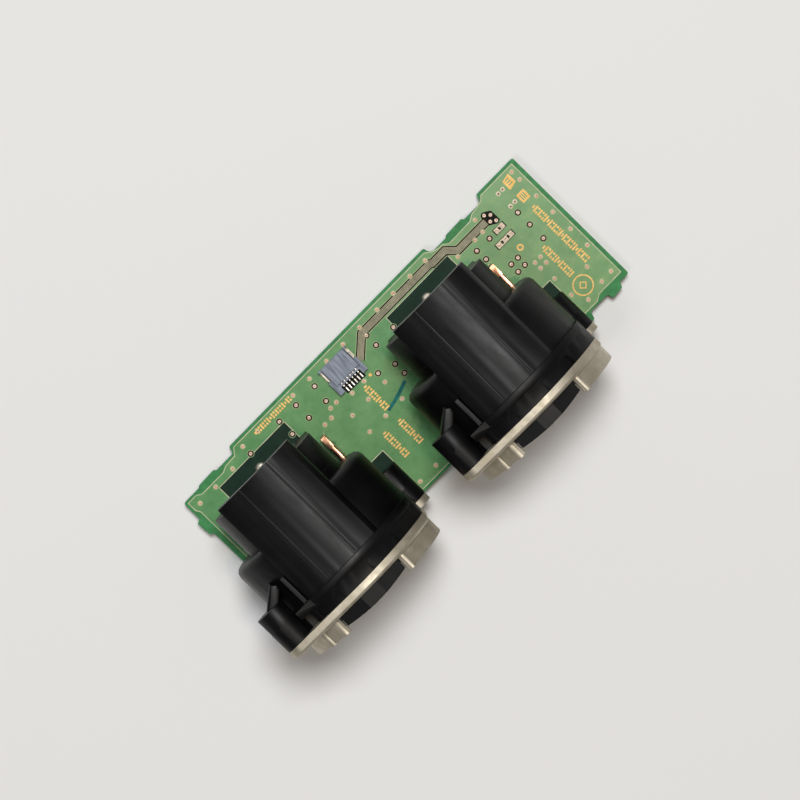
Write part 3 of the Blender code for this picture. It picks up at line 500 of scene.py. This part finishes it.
holes = [circle(x, y, GROUND_HOLE) for x, y in GROUND_TAILS]
print_plates("pcb_mask", [[POUR, *CLEARINGS, *holes]], "mask", low=0.0)
print_plates("pcb_pour_edge", [[offset(POUR, POUR_EDGE), POUR]], "copper_edge", low=0.0)
floors = [offset(shape, -CLEARING_EDGE) for shape in CLEARINGS]
clearing_edges = [[shape, floor] for shape, floor in zip(CLEARINGS, floors)]
print_plates("pcb_clearing_edges", clearing_edges, "copper_edge", low=0.0)
print_plates("pcb_bare_areas", [[shape] for shape in floors + FEET], "bare", low=0.0, high=BARE_HIGH)

# Vias: in clearings of their own, at the end of the trace bundle, under the mask, and in pairs
RINGED = [
    (-19.6, 8.25), (-14.19, 8.49), (-14.16, 6.22), (-11.24, 8.45), (-11.22, 6.17), (-7.9, 8.44),
    (-8.22, 6.12), (1.25, 8.27), (1.23, 6.54), (4.36, 6.58), (-1.12, 3.89), (1.22, 3.18), (1.24, 1.54),
    (18.55, 5.79), (20.79, 5.75), (18.63, 4.23), (20.4, 1.51), (21.58, 1.52), (20.35, 0.23), (21.55, 0.25),
    (25.6, 5.5), (25.59, 3.37), (25.56, 0.94),
]
CLUSTER = [(22.35, 8.26), (22.98, 7.75), (22.36, 7.18), (23.0, 6.75)]
TENTED = [
    (-28.54, 8.41), (-25.68, 8.45), (-22.56, 8.53), (28.68, 9.63), (28.7, 8.24), (28.73, 5.3), (28.77, 2.4),
    (28.81, -0.66), (28.84, -3.62), (-8.46, 5.06), (-7.41, 5.08), (-10.44, 4.11), (-9.25, 4.13),
    (-5.18, 4.46), (-3.07, 4.45), (-7.17, 2.45), (-4.32, 2.45), (-1.31, 2.49), (-7.13, -0.54),
    (-4.28, -0.57), (-1.29, -0.54), (-7.15, -9.49), (-4.31, -9.46), (16.38, 6.99), (19.35, 6.93),
    (20.77, 6.95), (21.16, 8.66), (22.63, -0.46), (23.65, -0.45), (22.64, -1.47), (23.65, -1.46),
    (22.95, -3.63), (22.95, -6.59), (24.05, -8.53), (26.85, -8.12), (28.58, -8.06), (26.86, -5.49),
]
REAR_ROW = [-19.65, -16.99, -10.63, -7.67, -4.59, -1.63, 1.36, 4.48, 7.39, 10.39, 13.13]
REAR_Y = 9.58
TENTED += [(x, REAR_Y) for x in REAR_ROW]
PAIRED = [(25.55, 8.9), (26.31, 8.91), (25.52, 6.69), (26.31, 6.73)]
PAD_ROWS = [
    [(22.14, 5.77), (23.01, 5.77)],
    [(21.03, 4.27), (22.16, 4.27), (23.09, 4.27)],
]
PADS = [place for row in PAD_ROWS for place in row]
VIA_SIDES = 16

# Profiles of a via's rings and lands: radius and height above the mask
VIA_CLEARING = [(0.20, 0.0), (0.42, 0.0), (0.41, 0.006), (0.21, 0.006), (0.20, 0.0)]
VIA_LIP = [(0.40, 0.0), (0.48, 0.0), (0.47, 0.008), (0.42, 0.010), (0.40, 0.0)]
VIA_LAND = [(0.0, 0.0), (0.25, 0.0), (0.235, 0.014), (0.16, 0.024), (0.08, 0.018), (0.0, 0.012)]
VIA_CENTRE = [(0.0, 0.010), (0.065, 0.010), (0.055, 0.024), (0.0, 0.026)]
TENTED_DOME = [(0.0, 0.0), (0.26, 0.0), (0.23, 0.010), (0.12, 0.016), (0.0, 0.014)]
TENTED_RIM = [(0.22, 0.0), (0.36, 0.0), (0.33, 0.006), (0.24, 0.008), (0.22, 0.0)]
PAIRED_LAND = [(0.0, 0.0), (0.31, 0.0), (0.28, 0.010), (0.1, 0.012), (0.0, 0.010)]
PAIRED_CENTRE = [(0.0, 0.008), (0.14, 0.008), (0.12, 0.016), (0.0, 0.018)]


def via_pieces(name, places, profile, material):
    """The same ring or land at several vias, as one piece."""
    mesh = turned(name, [(x, y, TOP + MASK_HIGH) for x, y in places], profile, VIA_SIDES)
    add_piece(name, mesh, material)


via_pieces("via_clearings", RINGED + CLUSTER, VIA_CLEARING, "clearance")
# The ringed vias' raised lips: their pale green is partly the rim's own colour and partly painted sheen of
# light off the mask's edge
via_pieces("via_lips_and_sheen", RINGED, VIA_LIP, "rims_and_sheen")
via_pieces("via_lands", RINGED + CLUSTER + PADS, VIA_LAND, "land")
via_pieces("via_centres", RINGED + CLUSTER + PADS + TENTED, VIA_CENTRE, "via_centre")
via_pieces("tented_vias", TENTED, TENTED_DOME, "tented")
via_pieces("tented_rims", TENTED, TENTED_RIM, "rims_and_sheen")
via_pieces("paired_vias", PAIRED, PAIRED_LAND, "cream")
via_pieces("paired_centres", PAIRED, PAIRED_CENTRE, "via_centre")

# Each row of pads lies in one clearing, with rails along its two sides.
# Reach along X and Y past the pads' centres
PAD_CLEARING = (0.47, 0.44)
PAD_RAIL = (0.32, 0.36)
PAD_GAP = (0.15, 0.21)


def around(x0, x1, y, reach):
    """A rectangle round the stretch from x0 to x1, by a reach along X and one along Y."""
    return rectangle(x0 - reach[0], y - reach[1], x1 + reach[0], y + reach[1])


clearings, rails, gaps = [], [], []
for row in PAD_ROWS:
    (x0, y), x1 = row[0], row[-1][0]
    clearings.append([around(x0, x1, y, PAD_CLEARING)])
    rails.append([around(x0, x1, y, PAD_RAIL)])
    middles = [(a[0] + b[0]) / 2.0 for a, b in zip(row, row[1:])]
    gaps += [[around(x, x, y, PAD_GAP)] for x in middles]
print_plates("pad_clearings", clearings, "clearance")
print_plates("pad_rails", rails, "cream")
print_plates("pad_gaps", gaps, "clearance")

# A bundle of fine traces from the flat-cable connector to four vias, and a short teal line
RUN = [
    (-1.55, 6.62), (1.02, 8.89), (13.25, 8.89), (13.45, 8.72), (15.72, 8.72), (16.95, 7.55), (21.95, 7.55),
]
RUN_END = [
    (21.8, 8.06), (21.98, 8.5), (22.35, 8.72), (22.75, 8.55), (23.4, 8.1), (23.46, 6.5), (22.75, 6.4),
    (22.3, 6.7), (21.7, 7.04),
]
RUN_HALF = 0.59
RUN_BORDER = 0.17
RUN_RIM = 0.08
LINES = 6
LINE_HALF = 0.05
TEAL_LINE = [(-3.56, -0.31), (-2.2, -0.08), (-1.0, 0.25), (0.6, 0.82)]
TEAL_HALF = 0.23


def ribbon(path, near, far):
    """An outline beside a path, between two distances to its left."""
    points = [Vector(p) for p in path]
    sides = ([], [])
    for i, here in enumerate(points):
        before = (here - points[i - 1]).normalized() if i else None
        after = (points[i + 1] - here).normalized() if i + 1 < len(points) else None
        before, after = before or after, after or before
        normal = Vector((-before.y - after.y, before.x + after.x)).normalized()
        scale = 1.0 / normal.dot(Vector((-before.y, before.x)))
        for side, distance in zip(sides, (near, far)):
            side.append(tuple(here + normal * scale * distance))
    return sides[0] + sides[1][::-1]


print_plates("trace_bed", [[ribbon(RUN, -RUN_HALF, RUN_HALF)]], "trace_bed")
rim_sides = ((-RUN_HALF - RUN_RIM, -RUN_HALF), (RUN_HALF, RUN_HALF + RUN_RIM))
print_plates("trace_rims", [[ribbon(RUN, near, far)] for near, far in rim_sides], "rims_and_sheen")
lane_pitch = 2.0 * (RUN_HALF - RUN_BORDER - LINE_HALF) / (LINES - 1)
lanes = [(i - (LINES - 1) / 2) * lane_pitch for i in range(LINES)]
print_plates("traces", [[ribbon(RUN, lane - LINE_HALF, lane + LINE_HALF)] for lane in lanes], "trace")
print_plates("trace_end", [[RUN_END]], "clearance")
print_plates("teal_line", [[ribbon(TEAL_LINE, -TEAL_HALF, TEAL_HALF)]], "teal")

# Printed marks: plain bars, dots and rings in place of lettering
BAR_PITCH = 0.36
BAR_HALF_THICK = 0.115
DOT = 0.16
DOT_SIDES = 10
# Bars as shares of a column's half width, from end to end
WHOLE = ((-1.0, 1.0),)
MIDDLE = ((-0.5, 0.5),)
SPLIT = ((-1.0, -0.2), (0.2, 1.0))
DOTS = ()
PATTERN = (MIDDLE, WHOLE, DOTS, WHOLE, DOTS, SPLIT, WHOLE)
# Columns of bars: place along X, start and end along Y, width
COLUMNS = [
    (27.53, 4.6, -4.85, 0.95),
    (24.83, 0.1, -4.75, 0.95),
    (-3.46, 3.85, 0.05, 0.9),
    (-3.46, -2.2, -5.95, 0.9),
    (-5.92, -2.0, -5.9, 0.9),
]
ROW_OF_BARS = (9.62, -17.3, -11.2, 0.75)  # the same with X and Y exchanged
# Two boxes of one width with three slits each: one leans and is slit across, one is square and slit along
BOX_X = (26.95, 28.2)
LEAN = 0.28
LEANING_BOX_Y = (8.15, 9.85)
SQUARE_BOX_Y = (5.8, 7.15)
SLIT = 0.14
LEANING_SLITS = [(27.25, y, 27.9, y + SLIT) for y in (8.65, 9.0, 9.35)]
SQUARE_SLITS = [(x, 6.05, x + SLIT, 6.9) for x in (27.22, 27.5, 27.78)]
# Rings: place, outer and inner radius, and number of sides, where four make a diamond
RINGS = [
    (24.88, -6.77, 1.37, 1.19, 48),
    (24.88, -6.77, 0.62, 0.42, 4),
    (22.71, 2.22, 0.45, 0.22, 24),
]
PIN_ONE_DOT = (-1.95, 4.44, 0.22, 14)


def bars_along(x, start, end, width):
    """A column of short bars across a line along Y, and pairs of dots, in the repeating pattern."""
    half = width / 2.0
    count = int(abs(end - start) / BAR_PITCH)
    step = (end - start) / count
    shapes = []
    for i in range(count + 1):
        y = start + i * step
        bars = PATTERN[i % len(PATTERN)]
        for near, far in bars:
            low_corner = (x + near * half, y - BAR_HALF_THICK)
            shapes.append([rectangle(*low_corner, x + far * half, y + BAR_HALF_THICK)])
        if not bars:
            shapes += [[circle(x + s * (half - DOT), y, DOT, DOT_SIDES)] for s in (-1.0, 1.0)]
    return shapes


marks = [shape for column in COLUMNS for shape in bars_along(*column)]
marks += [[[(y, x) for x, y in outline] for outline in shape] for shape in bars_along(*ROW_OF_BARS)]
(x0, x1), (y0, y1) = BOX_X, LEANING_BOX_Y
leaning_box = [(x0, y0), (x1, y0 + LEAN), (x1, y1), (x0, y1 - LEAN)]
marks.append([leaning_box, *[rectangle(*slit) for slit in LEANING_SLITS]])
square_box = rectangle(x0, SQUARE_BOX_Y[0], x1, SQUARE_BOX_Y[1])
marks.append([square_box, *[rectangle(*slit) for slit in SQUARE_SLITS]])
marks += [[circle(x, y, radius, sides) for radius in (outer, inner)] for x, y, outer, inner, sides in RINGS]
marks.append([circle(*PIN_ONE_DOT)])
print_plates("printed_marks", marks, "gold")


# ---------------------------------------------------------------- solder where tails pass through the board

CONTACT_CIRCLE = 5.5
CONTACT_TAILS = ((30.0, 4.95), (150.0, 4.95), (270.0, 6.0))  # angle on the circle, and place along Y
SIDE_PINS, MIDDLE_PINS = [], []
for x0 in SOCKET_X.values():
    *outer, middle = [(x0 + CONTACT_CIRCLE * math.cos(math.radians(angle)), y) for angle, y in CONTACT_TAILS]
    SIDE_PINS += outer
    MIDDLE_PINS.append(middle)
TAILS = SIDE_PINS + MIDDLE_PINS + GROUND_TAILS
DOME_SIDES = 28

# Profiles: radius, and height above the face they lie on
JOINT = [
    (0.0, 0.02), (0.72, 0.02), (0.70, -0.02), (0.52, -0.12), (0.38, -0.30), (0.30, -0.48), (0.22, -0.6),
    (0.0, -0.64),
]
DOME = [(0.0, -0.2), (0.70, -0.2), (0.76, 0.01), (0.70, 0.06), (0.56, 0.13), (0.42, 0.17), (0.0, 0.2)]
COLLAR = [(0.0, -0.2), (0.42, -0.2), (0.44, 0.01), (0.40, 0.04), (0.34, 0.10), (0.0, 0.12)]

joints = turned("solder_joints", [(x, y, UNDER) for x, y in TAILS], JOINT)
add_piece("solder_joints", joints, "solder")
domes = turned("solder_domes", [(x, y, TOP) for x, y in MIDDLE_PINS], DOME, DOME_SIDES)
add_piece("solder_domes", domes, "tinned_steel")
collars = turned("solder_collars", [(x, y, TOP) for x, y in SIDE_PINS], COLLAR)
add_piece("solder_collars", collars, "solder")


# ---------------------------------------------------------------- the board's underside

PEG_X = 5.5
PEG_Y = -4.0
PEG_OPENING = 1.1
TAIL_OPENING = 0.78
LOW_POUR_INSET = 0.5
BOARD_OUTLINE = [
    (-30.0, -10.8), (22.9, -10.8), (23.2, -9.8), (30.0, -9.8), (30.0, 10.8), (23.6, 10.8), (23.2, 9.7),
    (14.4, 9.7), (14.0, 10.8), (-20.9, 10.8), (-21.2, 9.85), (-30.0, 9.85),
]


def add_under(name, outlines, material):
    """A thin plate on the board's underside."""
    add_piece(name, flat_mesh(name, outlines, UNDER - MASK_HIGH, UNDER), material)


low_pour = offset(BOARD_OUTLINE, -LOW_POUR_INSET)
openings = [circle(x, y, TAIL_OPENING) for x, y in TAILS]
openings += [circle(x0 + x, PEG_Y, PEG_OPENING) for x0 in SOCKET_X.values() for x in (-PEG_X, PEG_X)]
add_under("pcb_mask_under", [low_pour, *openings], "mask")
add_under("pcb_pour_edge_under", [offset(low_pour, POUR_EDGE), low_pour], "copper_edge")
dome_under = [(radius, -height) for radius, height in TENTED_DOME]
via_places = [(x, y, UNDER - MASK_HIGH) for x, y in RINGED + CLUSTER + TENTED + PADS]
vias_under = turned("tented_vias_under", via_places, dome_under, VIA_SIDES)
add_piece("tented_vias_under", vias_under, "tented")


# ---------------------------------------------------------------- a dark strip under the flat-cable connector's tails

# A near-black strip under the connector's tails, set into the top of the mask
DARK_STRIP_HALF = 1.62
DARK_STRIP_Y = (4.78, 6.1)
DARK_STRIP_SUNK = 10 * UM
dark_strip = rectangle(FFC_X - DARK_STRIP_HALF, DARK_STRIP_Y[0], FFC_X + DARK_STRIP_HALF, DARK_STRIP_Y[1])
print_plates("ffc_dark_strip", [[dark_strip]], "clearance", low=MASK_HIGH - DARK_STRIP_SUNK)


# ---------------------------------------------------------------- camera, floor and light

TARGET = Vector((-1.6, -0.45, 1.2)) * MM
CAMERA_OFF_TARGET = Vector((10.0, 23.0, 410.0)) * MM
CAMERA_TURN = 45.6  # degrees that the board runs up to the right
SENSOR_WIDTH = 36.0
LENS = 146.7
NEAREST = 0.01
FLOOR_HALF = 1500.0  # in millimetres
FLOOR_THICK = 1.0 * MM
FLOOR_GAP = 0.02 * MM
FLOOR_GREY = 0.75
FLOOR_ROUGHNESS = 0.8
HORIZON_LIGHT = 0.22
ZENITH_LIGHT = 0.08
ZENITH_FROM = 0.9  # height on the unit sphere
# Each lamp's place and size in metres, its power and its colour
LAMPS = {
    "key": ((0.13, 0.165, 0.75), 0.20, 4.6, (1.0, 1.0, 1.0)),
    "left": ((-0.29, 0.0, 0.70), 0.18, 0.7, (1.0, 1.0, 1.0)),
    "warm": ((0.085, -0.045, 0.75), 0.05, 0.5, (1.0, 0.74, 0.46)),
}


def make_camera():
    """Almost straight above the board, turned so that the board runs up to the right."""
    place = TARGET + CAMERA_OFF_TARGET
    back = (place - TARGET).normalized()
    turn = math.radians(CAMERA_TURN)
    right = Vector((math.cos(turn), -math.sin(turn), 0.0))
    right = (right - back * right.dot(back)).normalized()
    camera = bpy.data.cameras.new("camera")
    camera.sensor_width = SENSOR_WIDTH
    camera.lens = LENS
    camera.clip_start = NEAREST
    item = bpy.data.objects.new("camera", camera)
    matrix = Matrix((right, back.cross(right), back)).transposed().to_4x4()
    matrix.translation = place
    item.matrix_world = matrix
    bpy.context.scene.collection.objects.link(item)
    bpy.context.scene.camera = item


def make_floor():
    """A plain pale floor just under the solder tails."""
    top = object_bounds()[0].z - FLOOR_GAP
    outline = rectangle(-FLOOR_HALF, -FLOOR_HALF, FLOOR_HALF, FLOOR_HALF)
    mesh = flat_mesh("floor", [outline], top - FLOOR_THICK, top)
    item = bpy.data.objects.new("floor", mesh)
    bpy.context.scene.collection.objects.link(item)
    mesh.materials.append(shader_material("floor", (FLOOR_GREY, FLOOR_GREY, FLOOR_GREY), FLOOR_ROUGHNESS))


def make_light(name, place, size, power, colour):
    """A square soft lamp that faces the board's middle."""
    lamp = bpy.data.lights.new(name, "AREA")
    lamp.energy = power
    lamp.color = colour
    lamp.shape = "SQUARE"
    lamp.size = size
    item = bpy.data.objects.new(name, lamp)
    item.location = place
    item.rotation_euler = Vector(place).to_track_quat("Z", "Y").to_euler()
    bpy.context.scene.collection.objects.link(item)


def make_world():
    """White light from all round, stronger near the horizon."""
    world = bpy.data.worlds.new("studio")
    world.use_nodes = True
    tree = world.node_tree
    place = tree.nodes.new("ShaderNodeTexCoord")
    split = tree.nodes.new("ShaderNodeSeparateXYZ")
    sky = tree.nodes.new("ShaderNodeMapRange")
    sky.inputs["From Max"].default_value = ZENITH_FROM
    sky.inputs["To Min"].default_value = HORIZON_LIGHT
    sky.inputs["To Max"].default_value = ZENITH_LIGHT
    tree.links.new(place.outputs["Generated"], split.inputs["Vector"])
    tree.links.new(split.outputs["Z"], sky.inputs["Value"])
    tree.links.new(sky.outputs["Result"], tree.nodes["Background"].inputs["Strength"])
    tree.nodes["Background"].inputs["Color"].default_value = (1.0, 1.0, 1.0, 1.0)
    bpy.context.scene.world = world


bpy.context.scene.view_settings.view_transform = "Standard"
make_camera()
make_floor()
make_world()
for name, (place, size, power, colour) in LAMPS.items():
    make_light(name, place, size, power, colour)
